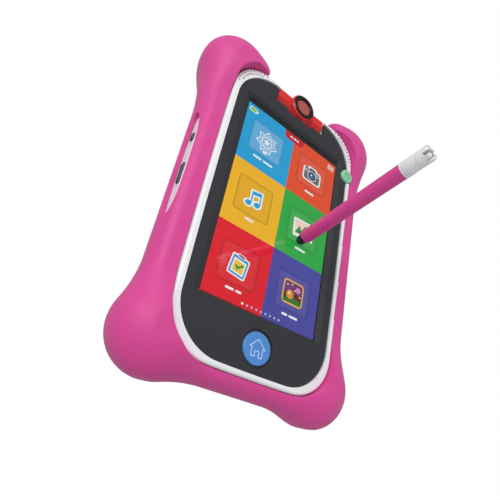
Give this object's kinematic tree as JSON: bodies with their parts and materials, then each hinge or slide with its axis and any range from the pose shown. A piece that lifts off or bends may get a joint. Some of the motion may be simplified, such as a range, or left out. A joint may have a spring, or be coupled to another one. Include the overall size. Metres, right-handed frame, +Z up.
{
  "type": "children's touch-screen handheld",
  "caption": "Children's touch-screen handheld in a soft knobbed bumper, with swivel camera, home button, side keys, power button and a touch stylus.",
  "frame": {"origin": "on the floor, midway between the two lower bumper knobs that it stands on, at the bumper's mid-thickness", "axes": "+X is the viewer's right, the screen faces -Y, +Z is up along the upright screen"},
  "size_m": [0.1222, 0.1063, 0.1858],
  "materials": {
    "bumper_silicone": "satin",
    "white_plastic": "satin",
    "bezel_plastic": "satin",
    "screen_glass": "polished",
    "display": "gloss",
    "sheet_steel": "brushed",
    "screw_steel": "satin",
    "circuit_board": "satin",
    "chip_plastic": "matte",
    "battery_film": "satin",
    "speaker_black": "matte",
    "home_blue": "gloss",
    "home_line": "gloss",
    "power_green": "gloss",
    "power_line": "satin",
    "key_grey": "satin",
    "camera_red": "gloss",
    "ring_black": "satin",
    "lens_glass": "polished",
    "sensor_black": "satin",
    "socket_metal": "satin",
    "stylus_pink": "satin",
    "stylus_white": "satin",
    "tip_rubber": "matte",
    "insert_grey": "satin"
  },
  "bodies": {
    "handheld": {"bumper": "bumper_silicone", "front_shell": "white_plastic", "rear_shell": "white_plastic", "case_screws": "screw_steel", "bezel_panel": "bezel_plastic", "touch_glass": "screen_glass", "display_panel": "display", "display_backplate": "sheet_steel", "main_board": "circuit_board", "board_chips": "chip_plastic", "board_screws": "screw_steel", "battery_pack": "battery_film", "speakers": "speaker_black", "microphone": "speaker_black", "home_switch": "chip_plastic", "power_switch": "chip_plastic", "side_key_switches": "chip_plastic", "side_key_board": "circuit_board", "earphone_socket": "socket_metal", "charging_socket": "socket_metal"},
    "home_key": {"home_button": "home_blue", "home_symbol": "home_line"},
    "power_key": {"power_button": "power_green", "power_symbol": "power_line"},
    "volume_key": {"volume_rocker": "key_grey"},
    "small_side_key": {"side_key": "key_grey"},
    "camera": {"camera_barrel": "camera_red", "camera_lens_ring": "ring_black", "camera_lens": "lens_glass", "camera_sensor": "sensor_black", "camera_pins": "screw_steel"},
    "stylus": {"stylus_tip": "tip_rubber", "stylus_barrel": "stylus_pink", "stylus_ferrule": "stylus_white", "stylus_cap": "stylus_white", "stylus_end_insert": "insert_grey"}
  },
  "joints": [
    {"name": "home_press", "type": "slide", "parent": "handheld", "child": "home_key", "axis": [0, 1, 0], "range_m": [0, 0.0006], "stiffness_N_per_m": 1500},
    {"name": "power_press", "type": "slide", "parent": "handheld", "child": "power_key", "axis": [0, 1, 0], "range_m": [0, 0.0005], "stiffness_N_per_m": 1500},
    {"name": "volume_rock", "type": "hinge", "parent": "handheld", "child": "volume_key", "pos_m": [-0.0522, -0.0035, 0.0878], "axis": [0, 1, 0], "range_deg": [-3, 3], "stiffness_Nm_per_rad": 0.05},
    {"name": "side_key_press", "type": "slide", "parent": "handheld", "child": "small_side_key", "axis": [1, 0, 0], "range_m": [0, 0.0005], "stiffness_N_per_m": 1500},
    {"name": "camera_turn", "type": "hinge", "parent": "handheld", "child": "camera", "pos_m": [0, -0.003, 0.167], "axis": [-1, 0, 0], "range_deg": [0, 180]},
    {"name": "stylus_lift", "type": "slide", "parent": "handheld", "child": "stylus", "axis": [-0.026, -0.9861, 0.164], "range_m": [0, 0.08]}
  ]
}
